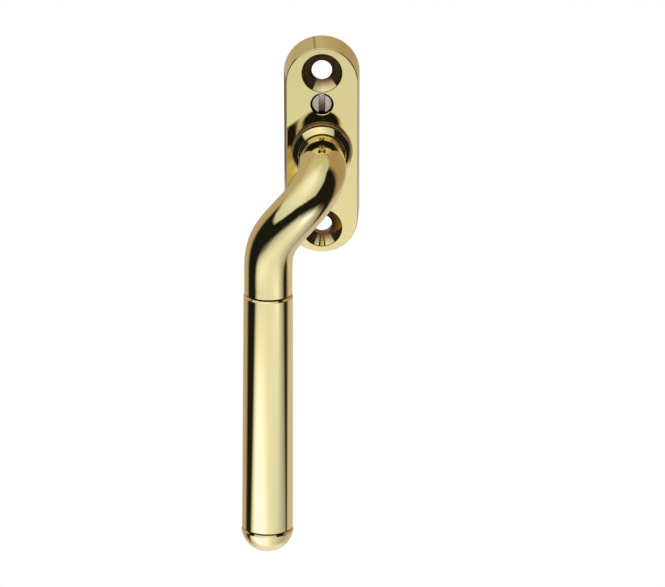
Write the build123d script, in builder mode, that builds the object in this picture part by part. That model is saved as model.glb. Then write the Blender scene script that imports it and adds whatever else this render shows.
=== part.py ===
from build123d import *
import os
from math import asin, cos, degrees, radians, sin, sqrt

# Espagnolette window handle, in millimetres, lever down in the closed position.
# The back of the plate is the plane y = 0, the room is towards -Y and up is +Z.
# The spindle turns about the Y axis, halfway between the two fixing holes.
# A depth is a distance in front of the back of the plate.

# Spindle and the square holes that it drives
spindle_size = 7.0
spindle_play = 0.05
spindle_reach = 35.0
spindle_tip = 0.8
socket_past_face = 4.4
socket_end_gap = 0.1
spindle_pin_radius = 1.0
spindle_pin_inset = 0.1
pin_gap = 0.01

# Layers of the mechanism, from the back of the plate towards the room
cover_thickness = 1.0
layer_gap = 0.1
disc_thickness = 1.6
journal_gap = 0.2
journal_lip = 0.77
circlip_thickness = 0.8
thrust_washer_thickness = 0.4
disc_spring_height = 0.55
disc_spring_thickness = 0.25
stack_gap = 0.02
front_wall = 3.0

# Journal, bush and boss
journal_wall = 1.18
circlip_groove = 0.6
circlip_lip = 1.0
circlip_mouth = 5.0
washer_play = 0.1
disc_spring_rim_gap = 0.2
thrust_washer_rim_gap = 0.4
bush_play = 0.05
bush_wall = 0.73
bush_gap = 0.02
bush_lip = 0.3
bush_flange = 0.4
collar_gap = 0.05
boss_wall = 0.8
boss_height = 1.2
boss_edge = 0.15

# Locking disc and its stop
disc_land = 0.88
stop_cut = 1.4
stop_pin_radius = 0.7
stop_pin_gap = 0.05
stop_floor_gap = 0.15
lever_range = 90
notch_width = 3.1
notch_play = 0.15
notch_floor_gap = 0.18

# Backplate
fixing_pitch = 43.0
screw_hole_radius = 2.65
countersink_radius = 5.25
end_margin = 6.8
plate_draft = 3.6
plate_edge = 0.3
side_wall = 1.5
chamber_gap = 0.5
screw_seat_wall = 5.0
cover_rim = 1.3
cover_gap = 0.1
cover_corner = 1.5
cover_opening_gap = 0.4

# Cover screws
cover_screw_radius = 1.0
cover_screw_head = 1.85
cover_screw_length = 4.5
cover_screw_spacing = 12.0
cover_screw_slot = 0.5
cover_screw_slot_depth = 0.4

# Lock
lock_hole_radius = 2.9
lock_play = 0.06
lock_bridge = 0.35
lock_edge = 0.15
lock_recess = 0.4
barrel_chamfer = 0.4
key_slot = 1.7
key_slot_depth = 1.2
drum_lip = 0.76
drum_gap = 0.05
drum_side_gap = 0.3
drive_radius = 1.5
drive_pin_radius = 0.9
drive_pin_seat = 1.2
drive_play = 0.15
ring_section = 0.56
ring_groove_play = 0.06
ring_from_face = 1.6
nose_gap = 0.3
bolt_shoulder_gap = 0.48
bolt_side_gap = 0.1
bolt_bridge = 1.0
bolt_corner = 0.4

# Collar and neck of the crank arm
collar_lip = 1.4
collar_land = 0.6
collar_height = 1.95
collar_bulge = 0.05
collar_edge = 0.1
rim_radius = 6.15
rim_undercut = 0.2
neck_radius = 5.88
neck_flare_end = 10.6

# Crank, set out in a plane that leans into the room towards the grip
lever_standoff = 22.6
lever_lean = 3.0
crank_offset = 13.83
crank_drop = 16.6
arm_end_drop = 13.3
grip_splay = 0.5
bar_radius = 6.19
neck_pull = 5.4
crank_lift = 1.84
shoulder_drop = 5.17
elbow_out = 1.28
elbow_rise = 2.86
grip_pull = 12.97

# Grip, tie rod and end cap
grip_length = 64.9
sleeve_top_radius = 6.36
sleeve_bottom_radius = 6.7
dome_radius = 6.83
dome_depth = 6.55
groove_bevel = 0.5
register_radius = 4.5
register_play = 0.05
register_length = 4.0
arm_end_length = 3.0
rod_radius = 2.95
rod_play = 0.05
rod_in_arm = 11.0
rod_in_cap = 4.2
rod_tip = 0.4
rod_end_gap = 0.3

# Sizes that follow
socket_size = spindle_size + 2 * spindle_play
socket_corner = socket_size / sqrt(2)
journal_radius = socket_corner + journal_wall
bush_inner = journal_radius + bush_play
bush_outer = bush_inner + bush_wall
bore_radius = bush_outer + bush_gap
boss_radius = bore_radius + boss_wall
stop_floor = socket_corner + disc_land
disc_radius = stop_floor + stop_cut
stop_pin_offset = stop_floor + stop_floor_gap + stop_pin_radius
chamber_radius = disc_radius + chamber_gap
# longer than any cut in the mechanism has to reach
far = 2 * disc_radius

layer_back = cover_thickness + layer_gap
layer_front = layer_back + disc_thickness
journal_end = layer_front + journal_gap
circlip_back = journal_end + journal_lip + stack_gap
circlip_front = circlip_back + circlip_thickness
washer_back = circlip_front + stack_gap
washer_front = washer_back + thrust_washer_thickness
disc_spring_back = washer_front + stack_gap
disc_spring_front = disc_spring_back + disc_spring_height
chamber_floor = disc_spring_front + stack_gap
plate_depth = chamber_floor + front_wall
boss_top = plate_depth + boss_height
collar_back = boss_top + bush_flange + collar_gap

plate_width = 2 * (chamber_radius + side_wall)
plate_height = fixing_pitch + 2 * end_margin
plate_taper = plate_depth * sin(radians(plate_draft)) / cos(radians(plate_draft))
lock_height = fixing_pitch / 2 - countersink_radius - lock_hole_radius - lock_bridge

barrel_radius = lock_hole_radius - lock_play
drum_radius = barrel_radius + drum_lip
channel_width = 2 * (drum_radius + drum_side_gap)
drive_rise = drive_radius * sin(radians(45))
bolt_throw = 2 * drive_rise
drive_slot = drive_pin_radius + drive_play
bolt_top = lock_height + drive_rise + drive_slot + bolt_bridge
nose_rest = disc_radius + nose_gap
shoulder_rest = disc_radius + bolt_throw + bolt_shoulder_gap
cover_height = 2 * (bolt_top + cover_gap)
cover_width = plate_width + 2 * plate_taper - 2 * (cover_rim + cover_gap)
recess_edge = cover_height / 2 + cover_gap
cover_opening = socket_corner + cover_opening_gap
cover_screw_rise = lock_height

lever_depth = plate_depth + lever_standoff
spindle_front = plate_depth + socket_past_face - socket_end_gap
collar_radius = journal_radius + collar_lip


def room_plane(depth):
    # a sketch plane that faces the room: its x is +X and its y is +Z
    return Plane.XZ.offset(depth)


def flat_ring(inner, outer, back, front):
    # a plain washer round the spindle axis
    with BuildPart() as ring:
        with BuildSketch(room_plane(back)):
            Circle(outer)
            Circle(inner, mode=Mode.SUBTRACT)
        extrude(amount=front - back)
    return ring


def save(piece, name):
    piece.part.label = name
    export_step(piece.part, f"parts/{name}.step")
    print(name, round(piece.part.volume, 1), "mm3")


os.makedirs("parts", exist_ok=True)

# Backplate: drafted stadium with a round boss, hollowed from the back for the mechanism
with BuildPart() as backplate:
    with BuildSketch(room_plane(0)):
        SlotOverall(plate_height + 2 * plate_taper, plate_width + 2 * plate_taper, rotation=90)
    extrude(amount=plate_depth, taper=plate_draft)
    fillet(backplate.faces().sort_by(Axis.Y)[0].edges(), plate_edge)
    with BuildSketch(room_plane(plate_depth)):
        Circle(boss_radius)
    extrude(amount=boss_height)
    fillet(backplate.faces().sort_by(Axis.Y)[0].edges(), boss_edge)
    with BuildSketch(room_plane(0)):
        Circle(chamber_radius)
        with Locations((0, recess_edge / 2)):
            Rectangle(channel_width, recess_edge)
    extrude(amount=chamber_floor, mode=Mode.SUBTRACT)
    with BuildSketch(room_plane(0)):
        SlotOverall(plate_height - 2 * side_wall, 2 * chamber_radius, rotation=90)
        with Locations((0, recess_edge)):
            Rectangle(plate_width, plate_height / 2, align=(Align.CENTER, Align.MIN), mode=Mode.INTERSECT)
    extrude(amount=chamber_floor, mode=Mode.SUBTRACT)
    with BuildSketch(room_plane(0)):
        SlotOverall(plate_height - 2 * side_wall, 2 * chamber_radius, rotation=90)
        with Locations((0, -recess_edge)):
            Rectangle(plate_width, plate_height / 2, align=(Align.CENTER, Align.MAX), mode=Mode.INTERSECT)
    extrude(amount=plate_depth - screw_seat_wall, mode=Mode.SUBTRACT)
    with BuildSketch(room_plane(0)):
        RectangleRounded(cover_width + 2 * cover_gap, cover_height + 2 * cover_gap, cover_corner)
    extrude(amount=cover_thickness, mode=Mode.SUBTRACT)
    with Locations(room_plane(boss_top)):
        Hole(bore_radius)
    with Locations(room_plane(plate_depth)):
        with Locations((0, fixing_pitch / 2), (0, -fixing_pitch / 2)):
            CounterSinkHole(screw_hole_radius, countersink_radius, counter_sink_angle=90)
        with Locations((0, lock_height)):
            CounterSinkHole(lock_hole_radius, lock_hole_radius + lock_edge, counter_sink_angle=90)
    with Locations(-room_plane(0)):
        with GridLocations(cover_screw_spacing, 2 * cover_screw_rise, 2, 2):
            Hole(cover_screw_radius, depth=cover_screw_length)
save(backplate, "backplate")

# Neck bush: black nylon sleeve with a thin flange between the boss and the collar
with BuildPart() as neck_bush:
    with BuildSketch(Plane.XY):
        with BuildLine():
            Polyline(
                (bush_inner, -chamber_floor),
                (bush_outer, -chamber_floor),
                (bush_outer, -boss_top),
                (bush_outer + bush_lip, -boss_top),
                (bush_outer + bush_lip, -boss_top - bush_flange),
                (bush_inner, -boss_top - bush_flange),
                close=True,
            )
        make_face()
    revolve(axis=Axis.Y)
save(neck_bush, "neck_bush")

# Disc spring: its rim bears on the plate and its bore on the thrust washer
with BuildPart() as disc_spring:
    with BuildSketch(Plane.XY):
        with BuildLine():
            Polyline(
                (chamber_radius - disc_spring_rim_gap, -disc_spring_front),
                (chamber_radius - disc_spring_rim_gap, -disc_spring_front + disc_spring_thickness),
                (journal_radius + washer_play, -disc_spring_back),
                (journal_radius + washer_play, -disc_spring_back - disc_spring_thickness),
                close=True,
            )
        make_face()
    revolve(axis=Axis.Y)
save(disc_spring, "disc_spring")

thrust_washer = flat_ring(
    journal_radius + washer_play, chamber_radius - thrust_washer_rim_gap, washer_back, washer_front
)
save(thrust_washer, "thrust_washer")

# Circlip: snap ring in the journal groove, open at the top
groove_radius = journal_radius - circlip_groove
with BuildPart() as circlip:
    with BuildSketch(room_plane(circlip_back)):
        Circle(journal_radius + circlip_lip)
        Circle(groove_radius + stack_gap, mode=Mode.SUBTRACT)
        with Locations((0, journal_radius)):
            Rectangle(circlip_mouth, 2 * journal_radius, mode=Mode.SUBTRACT)
    extrude(amount=circlip_thickness)
save(circlip, "circlip")

# Spindle: 7 mm square bar with bevelled ends, drilled for its cross pin
pin_depth = (chamber_floor + boss_top) / 2
with BuildPart() as spindle:
    with BuildSketch(room_plane(-spindle_reach)):
        Rectangle(spindle_size, spindle_size)
    extrude(amount=spindle_reach + spindle_front)
    ends = spindle.faces().filter_by(Axis.Y)
    chamfer(ends.edges(), spindle_tip)
    with Locations(Plane.YZ):
        with Locations((-pin_depth, 0)):
            Hole(spindle_pin_radius + pin_gap)
save(spindle, "spindle")

with BuildPart() as spindle_pin:
    with BuildSketch(Plane.YZ):
        with Locations((-pin_depth, 0)):
            Circle(spindle_pin_radius)
    extrude(amount=journal_radius - spindle_pin_inset, both=True)
save(spindle_pin, "spindle_pin")

# Locking disc: a notch for the bolt in the closed and open positions, and a cut for the stop pin
notch_floor = nose_rest - bolt_throw - notch_floor_gap
stop_margin = degrees(asin((stop_pin_radius + stop_pin_gap) / stop_pin_offset))
with BuildPart() as locking_disc:
    with BuildSketch(room_plane(layer_back)):
        Circle(disc_radius)
        Rectangle(socket_size, socket_size, mode=Mode.SUBTRACT)
        for notch_turn in (90, 90 + lever_range):
            with PolarLocations(notch_floor, 1, start_angle=notch_turn):
                Rectangle(far, notch_width, align=(Align.MIN, Align.CENTER), mode=Mode.SUBTRACT)
    extrude(amount=disc_thickness)
    with BuildSketch(room_plane(layer_back)):
        Circle(disc_radius + stop_cut)
        Circle(stop_floor, mode=Mode.SUBTRACT)
        with BuildLine():
            stop_start = -90 - stop_margin
            stop_end = -90 + lever_range + stop_margin
            start_point = (far * cos(radians(stop_start)), far * sin(radians(stop_start)))
            end_point = (far * cos(radians(stop_end)), far * sin(radians(stop_end)))
            Polyline((0, 0), start_point, (far, -far), end_point, close=True)
        make_face(mode=Mode.INTERSECT)
    extrude(amount=disc_thickness, mode=Mode.SUBTRACT)
save(locking_disc, "locking_disc")

# Stop pin: riveted in the cover plate, in the rim cut of the locking disc
with BuildPart() as stop_pin:
    with BuildSketch(room_plane(0)):
        with Locations((0, -stop_pin_offset)):
            Circle(stop_pin_radius)
    extrude(amount=layer_front + layer_gap)
save(stop_pin, "stop_pin")

# Cover plate: flush with the back, with the spindle opening
with BuildPart() as cover_plate:
    with BuildSketch(room_plane(0)):
        RectangleRounded(cover_width, cover_height, cover_corner)
        Circle(cover_opening, mode=Mode.SUBTRACT)
        with Locations((0, -stop_pin_offset)):
            Circle(stop_pin_radius + pin_gap, mode=Mode.SUBTRACT)
    extrude(amount=cover_thickness)
    with Locations(-room_plane(0)):
        with GridLocations(cover_screw_spacing, 2 * cover_screw_rise, 2, 2):
            CounterSinkHole(
                cover_screw_radius + pin_gap, cover_screw_head + pin_gap, counter_sink_angle=90
            )
save(cover_plate, "cover_plate")

# Cover screws: four slotted countersunk screws, heads flush with the back
cover_screw_cone = cover_screw_head - cover_screw_radius
with BuildPart() as cover_screws:
    with BuildSketch(room_plane(0)):
        with GridLocations(cover_screw_spacing, 2 * cover_screw_rise, 2, 2):
            Circle(cover_screw_head)
    extrude(amount=cover_screw_cone, taper=45)
    with BuildSketch(room_plane(cover_screw_cone)):
        with GridLocations(cover_screw_spacing, 2 * cover_screw_rise, 2, 2):
            Circle(cover_screw_radius - pin_gap)
    extrude(amount=cover_screw_length - cover_screw_cone)
    with BuildSketch(room_plane(0)):
        with GridLocations(cover_screw_spacing, 2 * cover_screw_rise, 2, 2):
            Rectangle(cover_screw_slot, far)
    extrude(amount=cover_screw_slot_depth, mode=Mode.SUBTRACT)
save(cover_screws, "cover_screws")

# Lock barrel: slotted face just inside the plate, drum behind the front wall
barrel_face = plate_depth - lock_recess
drum_front = chamber_floor - drum_gap
drum_back = layer_front + layer_gap
ring_back = barrel_face - ring_from_face
ring_front = ring_back + ring_section + ring_groove_play
ring_floor = barrel_radius - ring_section
lock_plane = Plane((0, 0, lock_height))
lock_axis = Axis((0, 0, lock_height), (0, 1, 0))
drive_x = drive_radius * cos(radians(45))
with BuildPart() as lock_barrel:
    with BuildSketch(lock_plane):
        with BuildLine():
            Polyline(
                (0, -barrel_face),
                (barrel_radius - barrel_chamfer, -barrel_face),
                (barrel_radius, -barrel_face + barrel_chamfer),
                (barrel_radius, -ring_front),
                (ring_floor, -ring_front),
                (ring_floor, -ring_back),
                (barrel_radius, -ring_back),
                (barrel_radius, -drum_front),
                (drum_radius, -drum_front),
                (drum_radius, -drum_back),
                (0, -drum_back),
                close=True,
            )
        make_face()
    revolve(axis=lock_axis)
    with BuildSketch(room_plane(barrel_face)):
        with Locations((0, lock_height)):
            Rectangle(key_slot, far)
    extrude(amount=-key_slot_depth, mode=Mode.SUBTRACT)
    with BuildSketch(room_plane(drum_back)):
        with Locations((drive_x, lock_height + drive_rise)):
            Circle(drive_pin_radius + pin_gap)
    extrude(amount=drive_pin_seat + pin_gap, mode=Mode.SUBTRACT)
save(lock_barrel, "lock_barrel")

with BuildPart() as lock_o_ring:
    with BuildSketch(lock_plane):
        with Locations((ring_floor + ring_section / 2 + pin_gap, -(ring_back + ring_front) / 2)):
            Circle(ring_section / 2)
    revolve(axis=lock_axis)
save(lock_o_ring, "lock_o_ring")

with BuildPart() as lock_drive_pin:
    with BuildSketch(room_plane(layer_back)):
        with Locations((drive_x, lock_height + drive_rise)):
            Circle(drive_pin_radius)
    extrude(amount=drum_back + drive_pin_seat - layer_back)
save(lock_drive_pin, "lock_drive_pin")

# Lock bolt: slides in the channel, with a cross slot for the drive pin and a nose for the notches
with BuildPart() as lock_bolt:
    with BuildSketch(room_plane(layer_back)):
        with BuildLine():
            half = channel_width / 2 - bolt_side_gap
            nose = notch_width / 2 - notch_play
            Polyline(
                (-nose, nose_rest),
                (nose, nose_rest),
                (nose, shoulder_rest),
                (half, shoulder_rest),
                (half, bolt_top),
                (-half, bolt_top),
                (-half, shoulder_rest),
                (-nose, shoulder_rest),
                close=True,
            )
        make_face()
        with Locations(((drive_x + drive_radius) / 2, lock_height + drive_rise)):
            SlotOverall(drive_radius - drive_x + 2 * drive_slot, 2 * drive_slot, mode=Mode.SUBTRACT)
    extrude(amount=disc_thickness)
    top_corners = lock_bolt.edges().filter_by(Axis.Y).group_by(Axis.Z)[-1]
    fillet(top_corners, bolt_corner)
save(lock_bolt, "lock_bolt")

# Crank arm: journal, stepped collar and neck turned about the spindle axis, then the swept crank
lever_plane = Plane(
    origin=(0, -lever_depth, 0),
    x_dir=(1, 0, 0),
    z_dir=(0, -cos(radians(lever_lean)), sin(radians(lever_lean))),
)
grip_run = (-sin(radians(grip_splay)), -cos(radians(grip_splay)))
arm_end = (-crank_offset + grip_run[0] * arm_end_drop, -crank_drop + grip_run[1] * arm_end_drop)
neck_end = collar_back + neck_flare_end
crank_corner = lever_plane.from_local_coords((-crank_offset, -crank_drop, 0))
arm_end_point = lever_plane.from_local_coords((*arm_end, 0))
grip_direction = (arm_end_point - crank_corner).normalized()
crank_end = arm_end_point - grip_direction * arm_end_length
# the two corners that pull the crank into its double bend
shoulder = lever_plane.from_local_coords((0, -shoulder_drop, crank_lift))
elbow = lever_plane.from_local_coords(
    (-crank_offset - elbow_out, -crank_drop + elbow_rise, crank_lift)
)
grip_axis = Axis(arm_end_point, grip_direction)
grip_plane = Plane(origin=arm_end_point, x_dir=lever_plane.z_dir, z_dir=grip_direction)
# radius is the plane's x and distance up the grip its y
grip_profile = Plane(
    origin=arm_end_point, x_dir=lever_plane.z_dir.cross(grip_direction), z_dir=lever_plane.z_dir
)

collar_step = collar_back + collar_height
neck_start = collar_step - rim_undercut
with BuildPart() as crank_arm:
    with BuildSketch(Plane.XY) as turning:
        with BuildLine():
            Polyline(
                (0, -neck_end),
                (0, -journal_end),
                (journal_radius, -journal_end),
                (journal_radius, -circlip_back + stack_gap),
                (groove_radius, -circlip_back + stack_gap),
                (groove_radius, -circlip_front - stack_gap),
                (journal_radius, -circlip_front - stack_gap),
                (journal_radius, -collar_back),
                (collar_radius, -collar_back),
                (collar_radius, -collar_back - collar_land),
            )
            SagittaArc(
                (collar_radius, -collar_back - collar_land),
                (rim_radius, -collar_step),
                collar_bulge,
            )
            Line((rim_radius, -collar_step), (neck_radius, -neck_start))
            Spline(
                (neck_radius, -neck_start),
                (bar_radius, -neck_end),
                tangents=((0, -1), (0, -1)),
            )
            Line((bar_radius, -neck_end), (0, -neck_end))
        make_face()
        outer_rim = turning.vertices().sort_by_distance((collar_radius, -collar_back - collar_land))[0]
        inner_rim = turning.vertices().sort_by_distance((rim_radius, -collar_step))[0]
        fillet((outer_rim, inner_rim), collar_edge)
    revolve(axis=Axis.Y)
    with BuildLine():
        crank_path = Bezier(
            (0, -neck_end, 0),
            (0, -neck_end - neck_pull, 0),
            shoulder,
            elbow,
            crank_end - grip_direction * grip_pull,
            crank_end,
        )
    with BuildSketch(room_plane(neck_end)):
        Circle(bar_radius)
    sweep(path=crank_path)
    with BuildSketch(grip_profile):
        with BuildLine():
            Polyline(
                (0, arm_end_length),
                (bar_radius, arm_end_length),
                (bar_radius, groove_bevel),
                (bar_radius - groove_bevel, 0),
                (register_radius, 0),
                (register_radius, -register_length),
                (0, -register_length),
                close=True,
            )
        make_face()
    revolve(axis=grip_axis)
    with BuildSketch(grip_plane.offset(register_length)):
        Circle(rod_radius + rod_play)
    extrude(amount=-(register_length + rod_in_arm), mode=Mode.SUBTRACT)
    with BuildSketch(room_plane(journal_end)):
        Rectangle(socket_size, socket_size)
    extrude(amount=spindle_front + socket_end_gap - journal_end, mode=Mode.SUBTRACT)
    with Locations(Plane.YZ):
        with Locations((-pin_depth, 0)):
            Hole(spindle_pin_radius + pin_gap)
save(crank_arm, "crank_arm")

# Grip sleeve: slightly tapered tube between the two V-grooves
with BuildPart() as grip_sleeve:
    with BuildSketch(grip_profile):
        with BuildLine():
            Polyline(
                (register_radius + register_play, 0),
                (sleeve_top_radius - groove_bevel, 0),
                (sleeve_top_radius, -groove_bevel),
                (sleeve_bottom_radius, -grip_length + groove_bevel),
                (sleeve_bottom_radius - groove_bevel, -grip_length),
                (register_radius + register_play, -grip_length),
                close=True,
            )
        make_face()
    revolve(axis=grip_axis)
save(grip_sleeve, "grip_sleeve")

# End cap: slightly flattened dome with a register and a blind thread for the tie rod
dome_turn = asin(groove_bevel / dome_depth)
dome_edge = dome_radius * cos(dome_turn)
with BuildPart() as end_cap:
    with BuildSketch(grip_profile):
        with BuildLine():
            Polyline(
                (0, -grip_length + register_length),
                (register_radius, -grip_length + register_length),
                (register_radius, -grip_length),
                (dome_radius - groove_bevel, -grip_length),
                (dome_edge, -grip_length - groove_bevel),
            )
            EllipticalCenterArc(
                (0, -grip_length),
                dome_radius,
                dome_depth,
                start_angle=-90,
                arc_size=90 - degrees(dome_turn),
            )
            Line((0, -grip_length - dome_depth), (0, -grip_length + register_length))
        make_face()
    revolve(axis=grip_axis)
    with BuildSketch(grip_plane.offset(grip_length - register_length)):
        Circle(rod_radius + rod_play)
    extrude(amount=register_length + rod_in_cap, mode=Mode.SUBTRACT)
save(end_cap, "end_cap")

# Tie rod: threaded stud that pulls the sleeve and the cap onto the crank arm
with BuildPart() as grip_tie_rod:
    with BuildSketch(grip_plane.offset(rod_end_gap - rod_in_arm)):
        Circle(rod_radius)
    extrude(amount=rod_in_arm + grip_length + rod_in_cap - 2 * rod_end_gap)
    chamfer(grip_tie_rod.edges().filter_by(GeomType.CIRCLE), rod_tip)
save(grip_tie_rod, "grip_tie_rod")
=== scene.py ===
# Espagnolette window handle in polished brass, dressed for a plain studio.
import math

import bmesh
import bpy
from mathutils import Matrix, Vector

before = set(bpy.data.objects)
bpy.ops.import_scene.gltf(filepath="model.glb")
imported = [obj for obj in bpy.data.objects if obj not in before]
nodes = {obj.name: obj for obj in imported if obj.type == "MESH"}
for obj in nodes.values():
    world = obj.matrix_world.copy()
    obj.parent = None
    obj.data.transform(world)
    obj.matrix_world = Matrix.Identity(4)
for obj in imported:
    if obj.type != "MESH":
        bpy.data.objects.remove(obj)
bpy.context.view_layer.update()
bpy.context.scene.view_settings.view_transform = "Standard"
print("frame loaded with", len(nodes), "nodes")


class Wire:
    # a socket of a node tree, so that node maths can be written as sums
    def __init__(self, sheet, socket):
        self.sheet = sheet
        self.socket = socket

    def out(self, name):
        # another output of the same node
        return Wire(self.sheet, self.socket.node.outputs[name])

    def maths(self, operation, first, second):
        return self.sheet.node("ShaderNodeMath", {"operation": operation}, {0: first, 1: second})

    def __add__(self, other):
        return self.maths("ADD", self, other)

    def __radd__(self, other):
        return self.maths("ADD", other, self)

    def __sub__(self, other):
        return self.maths("SUBTRACT", self, other)

    def __rsub__(self, other):
        return self.maths("SUBTRACT", other, self)

    def __mul__(self, other):
        return self.maths("MULTIPLY", self, other)

    def __rmul__(self, other):
        return self.maths("MULTIPLY", other, self)

    def __truediv__(self, other):
        return self.maths("DIVIDE", self, other)

    def __rtruediv__(self, other):
        return self.maths("DIVIDE", other, self)


class Sheet:
    # a node tree that is filled from code
    def __init__(self, tree):
        self.tree = tree
        self.tree.nodes.clear()

    def node(self, kind, settings, sockets, output=0):
        made = self.tree.nodes.new(kind)
        for name, value in settings.items():
            if name == "stops":
                setStops(made.color_ramp, value)
            else:
                setattr(made, name, value)
        for name, value in sockets.items():
            if isinstance(value, Wire):
                self.tree.links.new(value.socket, made.inputs[name])
            else:
                made.inputs[name].default_value = value
        return Wire(self, made.outputs[output]) if made.outputs else made


def setStops(ramp, stops):
    while len(ramp.elements) > 1:
        ramp.elements.remove(ramp.elements[-1])
    ramp.elements[0].position = stops[0][0]
    ramp.elements[0].color = stops[0][1]
    for position, colour in stops[1:]:
        ramp.elements.new(position).color = colour


def newMaterial(name):
    # a material with its empty sheet, and the place in metres on its piece
    material = bpy.data.materials.new(name)
    material.use_nodes = True
    sheet = Sheet(material.node_tree)
    return material, sheet, sheet.node("ShaderNodeTexCoord", {}, {}, "Object")


def grey(level):
    return (level, level, level, 1)


def softStep(value, low, high):
    # 0 below low, 1 above high, smooth between
    return value.sheet.node(
        "ShaderNodeMapRange",
        {"interpolation_type": "SMOOTHSTEP"},
        {"Value": value, "From Min": low, "From Max": high},
    )


def absolute(value):
    return value.sheet.node("ShaderNodeMath", {"operation": "ABSOLUTE"}, {0: value})


def larger(first, second):
    # the larger of two values, of which the first is a Wire
    return first.maths("MAXIMUM", first, second)


def smaller(first, second):
    return first.maths("MINIMUM", first, second)


def mixColours(factor, first, second):
    return factor.sheet.node(
        "ShaderNodeMix", {"data_type": "RGBA"}, {"Factor": factor, "A": first, "B": second}, 2
    )


def scaled(value, factors):
    # a vector or a colour, multiplied part by part
    return value.sheet.node("ShaderNodeVectorMath", {"operation": "MULTIPLY"}, {0: value, 1: factors})


def lengthOf(vector):
    return vector.sheet.node("ShaderNodeVectorMath", {"operation": "LENGTH"}, {0: vector}, "Value")


def axisPart(place, axis):
    return place.sheet.node("ShaderNodeSeparateXYZ", {}, {"Vector": place}, axis)


def noise(place, scale, detail=2.0, roughness=0.5):
    return place.sheet.node(
        "ShaderNodeTexNoise", {}, {"Vector": place, "Scale": scale, "Detail": detail, "Roughness": roughness}
    )


# camera, where the photographer stood
cameraValues = {
    "target": (0.0, -0.009, -0.035),
    "distance": 1.1,
    "elevation": 22.89,
    "azimuth": -0.22,
    "focalPixels": 4186.37,
    "imageWidth": 665,
    "sensorWidth": 36,
    "nearest": 0.01,
    "farthest": 20,
    "centreRight": 10.34,    # pixels from the target to the middle of the picture
    "centreDown": 17.35,
}


def makeCamera(values):
    elevation = math.radians(values["elevation"])
    azimuth = math.radians(values["azimuth"])
    back = Vector((
        math.sin(azimuth) * math.cos(elevation),
        -math.cos(azimuth) * math.cos(elevation),
        math.sin(elevation),
    ))
    right = Vector((0, 0, 1)).cross(back).normalized()
    up = back.cross(right)
    place = Vector(values["target"]) + values["distance"] * back
    aim = -back * values["focalPixels"] + right * values["centreRight"] - up * values["centreDown"]
    data = bpy.data.cameras.new("studioCamera")
    data.sensor_width = values["sensorWidth"]
    data.lens = values["focalPixels"] * values["sensorWidth"] / values["imageWidth"]
    data.clip_start = values["nearest"]
    data.clip_end = values["farthest"]
    camera = bpy.data.objects.new("studioCamera", data)
    camera.location = place
    camera.rotation_euler = aim.to_track_quat("-Z", "Y").to_euler()
    bpy.context.scene.collection.objects.link(camera)
    bpy.context.scene.camera = camera


makeCamera(cameraValues)
print("camera placed")


# light tent, a shell of pale cloth and dark gaps that the brass mirrors, hidden from the camera alone
# angles are in degrees as seen from its centre, azimuth 0 is the camera's side
# each pair is an azimuth with a height or a brightness there, and roofRise goes by height
tentValues = {
    "radius": 0.245,
    "centre": (0.0, -0.02, -0.02),
    "segments": 64,
    "rings": 32,
    "brightest": 3.0,        # a level that none of the pairs passes
    "darkColour": (0.013, 0.012, 0.010, 1),
    "roofEdge": [
        (-180, 60), (-130, 41), (-90, 40), (-50, 27.5), (-10, 36.5), (30, 32.5), (70, 59), (180, 60),
    ],
    "roofSoftness": 3.2,
    "roofLevel": [(-180, 0.52), (-120, 0.58), (-80, 0.9), (-10, 1.0), (60, 0.62), (180, 0.52)],
    "roofRise": [(30, 0.72), (65, 1.05), (90, 1.1)],
    "roofRearTint": (1.08, 1.0, 0.74, 1),
    "zenithLevel": 0.8,
    "zenithFrom": 76,
    "frontEdge": [
        (-180, -15), (-150, -30), (-130, -72), (-90, -58), (-50, -8), (-10, 4), (10, 8), (50, -6),
        (70, -17), (88, -49), (104, -27), (130, -15), (180, -15),
    ],
    "frontSoftness": 9.5,
    "frontHigh": [
        (-180, 0.35), (-60, 0.0), (-20, 0.6), (20, 0.88), (40, 1.6), (60, 0.13), (80, 0.0), (100, 0.5),
        (180, 0.4),
    ],
    "frontMiddle": [
        (-180, 0.5), (-80, 0.0), (-60, 0.82), (-40, 1.14), (0, 0.89), (40, 0.94), (80, 0.1),
        (100, 0.65), (180, 0.5),
    ],
    "frontLow": [
        (-180, 0.6), (-80, 0.74), (-60, 1.15), (-42, 2.3), (-10, 1.2), (2, 0.98), (20, 0.82),
        (80, 0.42), (100, 0.55), (180, 0.6),
    ],
    "frontRearTint": (1.12, 1.0, 0.94, 1),
    "highAt": -8,            # the heights of the three rows of front levels
    "middleAt": -22,
    "lowAt": -42,
    "glareColour": (1.09, 1.19, 1.68, 1),    # the brightest patch is a cool lamp behind the cloth
    "glareRange": (0.92, 1.5),
    "rearShare": [(-180, 1), (-113, 1), (-97, 0), (88, 0), (104, 1), (180, 1)],
    "rearLeftColour": (0.52, 0.41, 0.31, 1),
    "rearMiddleColour": (0.56, 0.49, 0.36, 1),
    "rearRightColour": (0.44, 0.31, 0.19, 1),
    "rearStops": (-180, -150, -45, 45, 150, 180),
    "seamAzimuth": -170.5,
    "seamWidth": 2.6,
    "seamDepth": 0.45,
    "gapHeights": (-18.6, -16.8, -11, -7),    # dark gap below the left rear cloth, with its soft edges
    "gapAzimuths": (-165, -150),
    "gapDepth": 0.6,
    "foldNoise": (5.0, 3.0),
    "foldDepth": 0.24,
}


def along(value, pairs, start, end, top):
    # brightness or height by an angle, from a ramp between two angles, because a ramp only holds 0 to 1
    low = min(level for angle, level in pairs)
    stops = [((angle - start) / (end - start), grey((level - low) / (top - low))) for angle, level in pairs]
    ramp = value.sheet.node("ShaderNodeValToRGB", {"stops": stops}, {"Fac": (value - start) / (end - start)})
    return ramp * (top - low) + low


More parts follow.
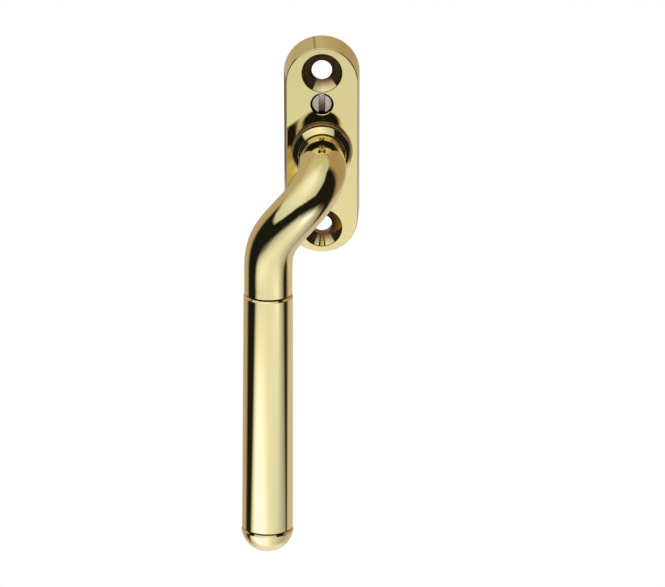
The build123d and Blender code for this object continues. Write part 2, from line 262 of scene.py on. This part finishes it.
def makeTent(values):
    mesh = bpy.data.meshes.new("lightTent")
    shell = bmesh.new()
    bmesh.ops.create_uvsphere(
        shell, u_segments=values["segments"], v_segments=values["rings"], radius=values["radius"]
    )
    shell.to_mesh(mesh)
    shell.free()
    tent = bpy.data.objects.new("lightTent", mesh)
    tent.location = values["centre"]
    tent.visible_camera = False
    bpy.context.scene.collection.objects.link(tent)
    material, sheet, place = newMaterial("tentCloth")
    direction = sheet.node("ShaderNodeVectorMath", {"operation": "NORMALIZE"}, {0: place})
    axes = sheet.node("ShaderNodeSeparateXYZ", {}, {"Vector": direction}, "X")
    azimuth = sheet.node(
        "ShaderNodeMath", {"operation": "ARCTAN2"}, {0: axes.out("X"), 1: axes.out("Y") * -1}
    ) * math.degrees(1)
    height = sheet.node("ShaderNodeMath", {"operation": "ARCSINE"}, {0: axes.out("Z")}) * math.degrees(1)

    def levelByAzimuth(name):
        return along(azimuth, values[name], -180, 180, values["brightest"])

    def heightByAzimuth(name):
        return along(azimuth, values[name], -180, 180, 90)

    def rowShare(name):
        # 0 at the middle row of the front, 1 at the row that is named
        return sheet.node(
            "ShaderNodeMapRange",
            {},
            {"Value": height, "From Min": values["middleAt"], "From Max": values[name]},
        )

    rearShare = levelByAzimuth("rearShare")

    roof = softStep(height - heightByAzimuth("roofEdge"), -values["roofSoftness"], values["roofSoftness"])
    roofLevel = levelByAzimuth("roofLevel") * along(height, values["roofRise"], 0, 90, values["brightest"])
    zenith = softStep(height, values["zenithFrom"], 90)
    roofLevel = roofLevel + zenith * (values["zenithLevel"] - roofLevel)
    roofColour = scaled(roofLevel, mixColours(rearShare, grey(1), values["roofRearTint"]))

    front = softStep(heightByAzimuth("frontEdge") - height, -values["frontSoftness"], values["frontSoftness"])
    middle = levelByAzimuth("frontMiddle")
    upward = (levelByAzimuth("frontHigh") - middle) * rowShare("highAt")
    downward = (levelByAzimuth("frontLow") - middle) * rowShare("lowAt")
    frontLevel = middle + upward + downward
    frontColour = mixColours(softStep(frontLevel, *values["glareRange"]), frontLevel, values["glareColour"])
    frontColour = scaled(frontColour, mixColours(rearShare, grey(1), values["frontRearTint"]))

    left = values["rearLeftColour"]
    right = values["rearRightColour"]
    back = values["rearMiddleColour"]
    rearColours = (back, left, left, right, right, back)
    rearStops = [((angle + 180) / 360, colour) for angle, colour in zip(values["rearStops"], rearColours)]
    rear = sheet.node("ShaderNodeValToRGB", {"stops": rearStops}, {"Fac": (azimuth + 180) / 360})
    seam = 1 - softStep(absolute(azimuth - values["seamAzimuth"]), 0, values["seamWidth"])
    folds = noise(direction, *values["foldNoise"])
    rear = scaled(rear, (1 - seam * values["seamDepth"]) * (1 + (folds - 0.5) * values["foldDepth"]))

    cloth = mixColours(rearShare, values["darkColour"], rear)
    cloth = mixColours(roof, cloth, roofColour)
    cloth = mixColours(front, cloth, frontColour)
    gapLow, gapBottom, gapTop, gapHigh = values["gapHeights"]
    gap = softStep(height, gapLow, gapBottom) * (1 - softStep(height, gapTop, gapHigh))
    gap = gap * (1 - softStep(azimuth, *values["gapAzimuths"]))
    cloth = scaled(cloth, 1 - gap * values["gapDepth"])
    light = sheet.node("ShaderNodeEmission", {}, {"Color": cloth, "Strength": 1.0})
    sheet.node("ShaderNodeOutputMaterial", {}, {"Surface": light})
    mesh.materials.append(material)


def makeWorld():
    # plain white behind everything, for every kind of ray
    world = bpy.data.worlds.new("white")
    bpy.context.scene.world = world
    world.use_nodes = True
    sheet = Sheet(world.node_tree)
    light = sheet.node("ShaderNodeBackground", {}, {"Color": grey(1), "Strength": 1.0})
    sheet.node("ShaderNodeOutputWorld", {}, {"Surface": light})


makeTent(tentValues)
makeWorld()
print("light tent made")


floorValues = {
    "radius": 0.11,
    "height": -0.235,
    "sides": 96,
    "colour": (0.8, 0.8, 0.8, 1),
    "glow": 0.55,
    "fadeFrom": 0.04,        # the paper thins out towards its rim
}


def makeFloor(values):
    sides = values["sides"]
    radius = values["radius"]
    turns = [2 * math.pi * step / sides for step in range(sides)]
    points = [(radius * math.cos(turn), radius * math.sin(turn), values["height"]) for turn in turns]
    mesh = bpy.data.meshes.new("floor")
    mesh.from_pydata(points, [], [list(range(sides))])
    floor = bpy.data.objects.new("floor", mesh)
    bpy.context.scene.collection.objects.link(floor)
    material, sheet, place = newMaterial("floorPaper")
    fade = softStep(lengthOf(scaled(place, (1, 1, 0))), values["fadeFrom"], radius)
    rays = sheet.node("ShaderNodeLightPath", {}, {}, "Is Camera Ray")
    seen = rays + rays.out("Is Glossy Ray") + rays.out("Is Transmission Ray")
    paper = sheet.node("ShaderNodeBsdfDiffuse", {}, {"Color": values["colour"]})
    glow = sheet.node("ShaderNodeEmission", {}, {"Color": seen * values["glow"], "Strength": 1.0})
    both = sheet.node("ShaderNodeAddShader", {}, {0: paper, 1: glow})
    clear = sheet.node("ShaderNodeBsdfTransparent", {}, {})
    faded = sheet.node("ShaderNodeMixShader", {}, {0: fade, 1: both, 2: clear})
    sheet.node("ShaderNodeOutputMaterial", {}, {"Surface": faded})
    mesh.materials.append(material)


makeFloor(floorValues)
print("floor made")


# what the finishes share
# lengths are in metres, a noise is its scale, detail and roughness, a range is where a mask starts and ends
wearValues = {"samples": 6, "range": (0.02, 0.25)}
# ambient occlusion that places painted shade in grooves and corners
occlusionShadeValues = {"samples": 8, "range": (0.16, 0.5)}


def edgeWear(sheet, reach):
    # 1 on sharp edges, where handling rubs first
    rounded = sheet.node("ShaderNodeBevel", {"samples": wearValues["samples"]}, {"Radius": reach})
    flat = sheet.node("ShaderNodeNewGeometry", {}, {}, "Normal")
    match = sheet.node("ShaderNodeVectorMath", {"operation": "DOT_PRODUCT"}, {0: rounded, 1: flat}, "Value")
    return softStep(1 - match, *wearValues["range"])


def cavity(sheet, reach):
    # 1 in grooves and corners that nearby surfaces hide, found by ambient occlusion, where painted shade goes
    openness = sheet.node(
        "ShaderNodeAmbientOcclusion", {"samples": occlusionShadeValues["samples"]}, {"Distance": reach}, "AO"
    )
    return softStep(1 - openness, *occlusionShadeValues["range"])


def axisDistance(place, centre):
    # distance from a line along Y through the centre
    offset = place.sheet.node("ShaderNodeVectorMath", {"operation": "SUBTRACT"}, {0: place, 1: centre})
    return lengthOf(scaled(offset, (1, 0, 1)))


def relief(height):
    # height in metres over the smooth surface
    return height.sheet.node("ShaderNodeBump", {}, {"Strength": 1.0, "Distance": 1.0, "Height": height})


def closeFinish(sheet, sockets):
    shader = sheet.node("ShaderNodeBsdfPrincipled", {}, sockets)
    sheet.node("ShaderNodeOutputMaterial", {}, {"Surface": shader})


# polished brass of the lever, its grip and its cap
brassValues = {
    "colour": (0.91, 0.805, 0.428, 1),
    "deepColour": (0.885, 0.765, 0.385, 1),
    "toneNoise": (45.0, 2.0),
    "toneRange": (0.3, 0.7),
    "toneShare": 0.5,
    "roughness": 0.022,
    "smudgeNoise": (90.0, 4.0, 0.55),
    "smudgeRange": (0.35, 0.75),
    "smudgeRoughness": 0.02,
    "lineNoise": (1.0, 3.0, 0.6),
    "lineRoughness": 0.02,
    "lineDepth": 0.0000002,
    "scratchFineness": 3,    # how much finer the scratches are than the polishing lines
    "scratchNoise": (1.0, 2.0),
    "scratchRange": (0.66, 0.74),
    "scratchRoughness": 0.05,
    "waveNoise": (160.0, 1.0),
    "waveDepth": 0.000004,
    "wornColour": (0.93, 0.84, 0.50, 1),
    "wearReach": 0.00012,
    "wearShare": 0.6,
    # unbuffed brass with painted shade: a dull brown in grooves and corners
    "grooveDullAndShadeColour": (0.38, 0.25, 0.10, 1),
    "grooveRoughness": 0.24,
    "grooveReach": 0.0006,
    "blotchNoise": (700.0, 3.0),
    "blotchFrom": 0.85,      # the painted shade and the dull patches are thinner and thicker in blotches
    "blotchSpan": 0.3,
}

# painted shade: the plate's brass is a darker copy of the lever's brass
shadedPlateBrassValues = dict(
    brassValues,
    colour=(0.86, 0.765, 0.37, 1),
    deepColour=(0.835, 0.725, 0.335, 1),
)


def polishedBrass(name, values, lineStretch, marks=None):
    material, sheet, place = newMaterial(name)
    scratchStretch = tuple(values["scratchFineness"] * part for part in lineStretch)
    lines = noise(scaled(place, lineStretch), *values["lineNoise"])
    scratches = noise(scaled(place, scratchStretch), *values["scratchNoise"])
    scratches = softStep(scratches, *values["scratchRange"])
    smudge = softStep(noise(place, *values["smudgeNoise"]), *values["smudgeRange"])
    tone = softStep(noise(place, *values["toneNoise"]), *values["toneRange"])
    blotches = values["blotchFrom"] + noise(place, *values["blotchNoise"]) * values["blotchSpan"]
    colour = mixColours(tone * values["toneShare"], values["colour"], values["deepColour"])
    wear = edgeWear(sheet, values["wearReach"]) * values["wearShare"]
    colour = mixColours(wear, colour, values["wornColour"])
    polish = values["roughness"] + smudge * values["smudgeRoughness"]
    polish = polish + scratches * values["scratchRoughness"] + (lines - 0.5) * values["lineRoughness"]
    bareMetal = 1.0
    # painted shade with unbuffed brass, in the grooves and corners that occlusion finds
    grooveShadeMask = cavity(sheet, values["grooveReach"])
    dullAndShadedParts = [(grooveShadeMask, values["grooveDullAndShadeColour"], values["grooveRoughness"], 1.0)]
    if marks:
        dullAndShadedParts += marks(place)
    # each dull part is mixed in where its mask lies, and some of them are painted shade too
    for mask, dullAndShadedColour, dullRoughness, dullMetal in dullAndShadedParts:
        colour = mixColours(mask * blotches, colour, dullAndShadedColour)
        polish = polish + mask * (dullRoughness - polish)
        if dullMetal < 1:
            bareMetal = bareMetal - mask * (1 - dullMetal)
    waves = noise(place, *values["waveNoise"])
    closeFinish(sheet, {
        "Base Color": colour,
        "Metallic": bareMetal,
        "Roughness": polish,
        "Normal": relief(lines * values["lineDepth"] + waves * values["waveDepth"]),
    })
    return material


# parts of the plate that the buffing wheel doesn't reach, and painted shade in the holes, the lock bore and
# on the boss wall
plateValues = {
    "face": -0.0085,
    "holes": ((0, 0, 0.0215), (0, 0, -0.0215)),
    "holeRadius": 0.00525,
    "boreRadius": 0.00265,
    "wallRange": (0.00002, 0.00006),
    "rimFrom": 0.00496,      # the edge of each cone is darkened as well, painted shade with buffing paste
    "rimShare": 0.95,
    "coneRange": (-0.0001, 0.0028),    # the cones keep their polish near the face and are darkened below it, painted shade with buffing paste
    # painted shade with dried buffing paste: dark reddish brown in the holes and the lock bore
    "holeShadeAndPasteColour": (0.23, 0.075, 0.05, 1),
    "holeRoughness": 0.22,
    "holeMetal": 0.8,        # the rest is under dried buffing paste
    "lockCentre": (0, 0, 0.013),
    "lockRadius": 0.0029,
    "bossRange": (0.00002, 0.00008),
    # unbuffed cast brass on the boss wall, painted darker and browner as shade under the collar
    "bossDullAndShadeColour": (0.62, 0.43, 0.24, 1),
    "bossRoughness": 0.42,
    "halfSpan": 0.019,       # from the middle to the centre of either rounded end
    "insideRadius": 0.0086,
    "insideRange": (0.0001, 0.0002),
    "edgeSpread": 1.01,      # a mask with a round edge fades out over a hundredth of its radius
    "backRange": (-0.00005, -0.00001),
    "castColour": (0.78, 0.60, 0.30, 1),
    "castRoughness": 0.46,
    "milledRoughness": 0.3,
}


def plateMarks(place):
    # mask, colour, roughness and share of bare metal of each part
    values = plateValues
    spread = values["edgeSpread"]
    depth = axisPart(place, "Y") - values["face"]
    nearest = smaller(*(axisDistance(place, centre) for centre in values["holes"]))
    wall = larger(values["holeRadius"] - depth, values["boreRadius"])
    inHole = 1 - softStep(nearest - wall, *values["wallRange"])
    rim = softStep(nearest, values["rimFrom"], values["holeRadius"]) * values["rimShare"]
    # painted shade with buffing paste: each cone below the face, its edge and the lock bore are darkened
    holes = inHole * larger(softStep(depth, *values["coneRange"]), rim)
    fromLock = axisDistance(place, values["lockCentre"])
    lock = 1 - softStep(fromLock, values["lockRadius"], values["lockRadius"] * spread)
    # painted shade with unbuffed brass on the boss wall under the collar
    boss = softStep(depth * -1, *values["bossRange"])
    ends = larger(absolute(axisPart(place, "Z")) - values["halfSpan"], 0.0)
    offset = place.sheet.node("ShaderNodeCombineXYZ", {}, {"X": axisPart(place, "X"), "Z": ends})
    inside = 1 - softStep(lengthOf(offset), values["insideRadius"], values["insideRadius"] * spread)
    inside = inside * softStep(depth, *values["insideRange"]) * (1 - inHole) * (1 - lock)
    milled = softStep(axisPart(place, "Y"), *values["backRange"]) * (1 - inside)
    return [
        (larger(holes, lock), values["holeShadeAndPasteColour"], values["holeRoughness"], values["holeMetal"]),
        (boss, values["bossDullAndShadeColour"], values["bossRoughness"], 1.0),
        (inside, values["castColour"], values["castRoughness"], 1.0),
        (milled, values["castColour"], values["milledRoughness"], 1.0),
    ]


# nickel of the lock barrel, turned across its face and slotted
nickelValues = {
    "centre": (0, 0, 0.013),
    "face": -0.0081,
    "colour": (0.80, 0.715, 0.65, 1),
    "roughness": 0.3,
    "turnPitch": 0.00009,
    "turnDepth": 0.0000015,
    "pitNoise": (2600.0, 3.0, 0.6),
    "pitRange": (0.42, 0.66),
    "pitShare": 0.7,
    "pitRoughness": 0.12,
    "pitDepth": 0.000004,
    "pittedColour": (0.52, 0.45, 0.40, 1),
    "slotHalf": 0.00085,
    "slotEdge": 0.02,        # share of the half width over which the slot's mask fades
    "slotRange": (0.0001, 0.0004),
    "slotShadeRange": (-0.0018, 0.0026),    # painted shade lies in the lower end of the slot
    "paintedShadeShare": 0.9,
    "paintedShadeRoughness": 0.2,
    "paintedShadeColour": (0.21, 0.14, 0.085, 1),
    "cornerFrom": 0.00048,
    "cornerShare": 0.75,
    "slotCornerShadeColour": (0.36, 0.13, 0.12, 1),    # painted shade in the corners of the slot, coloured dark red
    "wearReach": 0.0001,
    "wearShare": 0.5,
    "wearPolish": 0.08,
    "wornColour": (0.85, 0.85, 0.85, 1),
    "gapFrom": 0.00236,      # the chamfer and the side lie in the dark of the hole
    "gapSpread": 1.1,
    "gapColour": (0.06, 0.045, 0.03, 1),
}


def turnedNickel(name, values):
    material, sheet, place = newMaterial(name)
    half = values["slotHalf"]
    edge = values["slotEdge"]
    across = absolute(axisPart(place, "X"))
    fromAxis = axisDistance(place, values["centre"])
    depth = axisPart(place, "Y") - values["face"]
    rise = axisPart(place, "Z") - values["centre"][2]
    slot = 1 - softStep(across, half * (1 - edge), half * (1 + edge))
    slot = slot * softStep(depth, *values["slotRange"])
    # painted shade: the lower end of the slot is coloured dark brown
    paintedShade = slot * (1 - softStep(rise, *values["slotShadeRange"])) * values["paintedShadeShare"]
    # painted shade: the walls and corners of the slot are coloured dark red
    slotCornerShade = slot * softStep(across, values["cornerFrom"], half)
    pits = softStep(noise(place, *values["pitNoise"]), *values["pitRange"])
    rings = noise(fromAxis, 1 / values["turnPitch"], 1.0)
    wear = edgeWear(sheet, values["wearReach"])
    gap = softStep(fromAxis, values["gapFrom"], values["gapFrom"] * values["gapSpread"])
    colour = mixColours(pits * values["pitShare"], values["colour"], values["pittedColour"])
    colour = mixColours(paintedShade, colour, values["paintedShadeColour"])
    colour = mixColours(slotCornerShade * values["cornerShare"], colour, values["slotCornerShadeColour"])
    colour = mixColours(wear * values["wearShare"], colour, values["wornColour"])
    colour = mixColours(gap, colour, values["gapColour"])
    roughness = values["roughness"] + pits * values["pitRoughness"] + paintedShade * values["paintedShadeRoughness"]
    closeFinish(sheet, {
        "Base Color": colour,
        "Metallic": 1.0,
        "Roughness": roughness - wear * values["wearPolish"],
        "Normal": relief(pits * values["pitDepth"] + rings * values["turnDepth"]),
    })
    return material


# plated and spring steel, rolled or turned
metalValues = {
    "lineNoise": (1.0, 3.0, 0.6),
    "lineRoughness": 0.25,
    "patchNoise": (260.0, 3.0, 0.6),
    "patchRange": (0.36, 0.64),
    "patchShare": 0.6,
    "patchRoughness": 0.08,
    "cloudNoise": (110.0, 2.0),
    "cloudRange": (0.4, 0.65),
    "cloudShare": 0.4,
    "grainNoise": (4200.0, 2.0),
    "grainDepth": 0.000003,
    "wearReach": 0.00012,
    "wearNoise": (900.0, 2.0),
    "wearRange": (0.3, 0.55),
    "wearPolish": 0.1,
    # painted shade in the corners and grooves that occlusion finds
    "paintedShadeReach": 0.0008,
    "paintedShadeShare": 0.7,
    "paintedShadeRoughness": 0.3,
}
steelValues = {
    **metalValues,
    "colour": (0.60, 0.60, 0.61, 1),
    "patchColour": (0.56, 0.53, 0.43, 1),    # the yellow and blue cast of a passivated zinc coat
    "cloudColour": (0.43, 0.46, 0.53, 1),
    "roughness": 0.3,
    "edgeColour": (0.74, 0.74, 0.75, 1),
    # the colour of the painted shade in corners
    "paintedShadeColour": (0.16, 0.14, 0.12, 1),
    "lineDepth": 0.000006,
}
springValues = {
    **metalValues,
    "colour": (0.29, 0.28, 0.28, 1),
    "patchColour": (0.33, 0.25, 0.17, 1),    # straw and blue from tempering
    "cloudColour": (0.14, 0.15, 0.19, 1),
    "roughness": 0.26,
    "edgeColour": (0.55, 0.55, 0.56, 1),
    # the colour of the painted shade in corners
    "paintedShadeColour": (0.06, 0.05, 0.045, 1),
    "lineDepth": 0.000004,
}


def metal(name, values, lineStretch):
    material, sheet, place = newMaterial(name)
    lines = noise(scaled(place, lineStretch), *values["lineNoise"])
    patches = softStep(noise(place, *values["patchNoise"]), *values["patchRange"])
    clouds = softStep(noise(place, *values["cloudNoise"]), *values["cloudRange"])
    grains = noise(place, *values["grainNoise"])
    rubbed = softStep(noise(place, *values["wearNoise"]), *values["wearRange"])
    wear = edgeWear(sheet, values["wearReach"]) * rubbed
    # painted shade: corners and grooves that occlusion finds are coloured darker
    paintedShade = cavity(sheet, values["paintedShadeReach"]) * values["paintedShadeShare"]
    colour = mixColours(patches * values["patchShare"], values["colour"], values["patchColour"])
    colour = mixColours(clouds * values["cloudShare"], colour, values["cloudColour"])
    colour = mixColours(wear, colour, values["edgeColour"])
    colour = mixColours(paintedShade, colour, values["paintedShadeColour"])
    roughness = values["roughness"] + (lines - 0.5) * values["lineRoughness"]
    roughness = roughness + patches * values["patchRoughness"] + paintedShade * values["paintedShadeRoughness"]
    closeFinish(sheet, {
        "Base Color": colour,
        "Metallic": 1.0,
        "Roughness": roughness - wear * values["wearPolish"],
        "Normal": relief(lines * values["lineDepth"] + grains * values["grainDepth"]),
    })
    return material


# moulded nylon and rubber
mouldedValues = {
    "grainRoughness": 0.2,
    "bloomNoise": (420.0, 3.0),
    "bloomRange": (0.45, 0.75),
    "bloomShare": 0.5,
    "bloomRoughness": 0.08,
    "wearReach": 0.0001,
    "wearPolish": 0.1,
}
nylonValues = {
    **mouldedValues,
    "colour": (0.016, 0.016, 0.017, 1),
    "rubbedColour": (0.05, 0.05, 0.052, 1),
    "roughness": 0.42,
    "grainNoise": (5200.0, 3.0, 0.6),
    "grainDepth": 0.000006,
}
rubberValues = {
    **mouldedValues,
    "colour": (0.012, 0.012, 0.012, 1),
    "rubbedColour": (0.045, 0.043, 0.04, 1),
    "roughness": 0.62,
    "grainNoise": (3000.0, 3.0, 0.6),
    "grainDepth": 0.00001,
}


def moulded(name, values):
    material, sheet, place = newMaterial(name)
    grain = noise(place, *values["grainNoise"])
    bloom = softStep(noise(place, *values["bloomNoise"]), *values["bloomRange"])
    wear = edgeWear(sheet, values["wearReach"])
    rubbed = larger(wear, bloom * values["bloomShare"])
    roughness = values["roughness"] + (grain - 0.5) * values["grainRoughness"]
    closeFinish(sheet, {
        "Base Color": mixColours(rubbed, values["colour"], values["rubbedColour"]),
        "Roughness": roughness + bloom * values["bloomRoughness"] - wear * values["wearPolish"],
        "Normal": relief(grain * values["grainDepth"]),
    })
    return material


# polishing, rolling or turning lines run the way of the smallest number
lineDirections = {
    "backplate": (900, 900, 40),
    "crank_arm": (300, 300, 300),
    "grip_sleeve": (1500, 1500, 20),
    "end_cap": (40, 40, 1500),
    "spindle": (1800, 60, 1800),
    "cover_plate": (1600, 1600, 70),
    "lock_bolt": (1600, 1600, 90),
    "grip_tie_rod": (90, 90, 2400),
}
evenLines = (900, 900, 900)


def dress(name, kind):
    lines = lineDirections.get(name, evenLines)
    if name == "backplate":
        return polishedBrass("backplateBrass", shadedPlateBrassValues, lines, plateMarks)
    if kind == "polished_brass":
        return polishedBrass(name + "Brass", brassValues, lines)
    if kind == "nickel":
        return turnedNickel(name + "Nickel", nickelValues)
    if kind == "spring_steel":
        return metal(name + "Spring", springValues, lines)
    if kind == "zinc_steel":
        return metal(name + "Zinc", steelValues, lines)
    return moulded(name + "Moulded", nylonValues if kind == "black_nylon" else rubberValues)


for name, node in nodes.items():
    for slot in node.material_slots:
        slot.material = dress(name, slot.material.name)
print("finishes made")

bpy.context.view_layer.update()
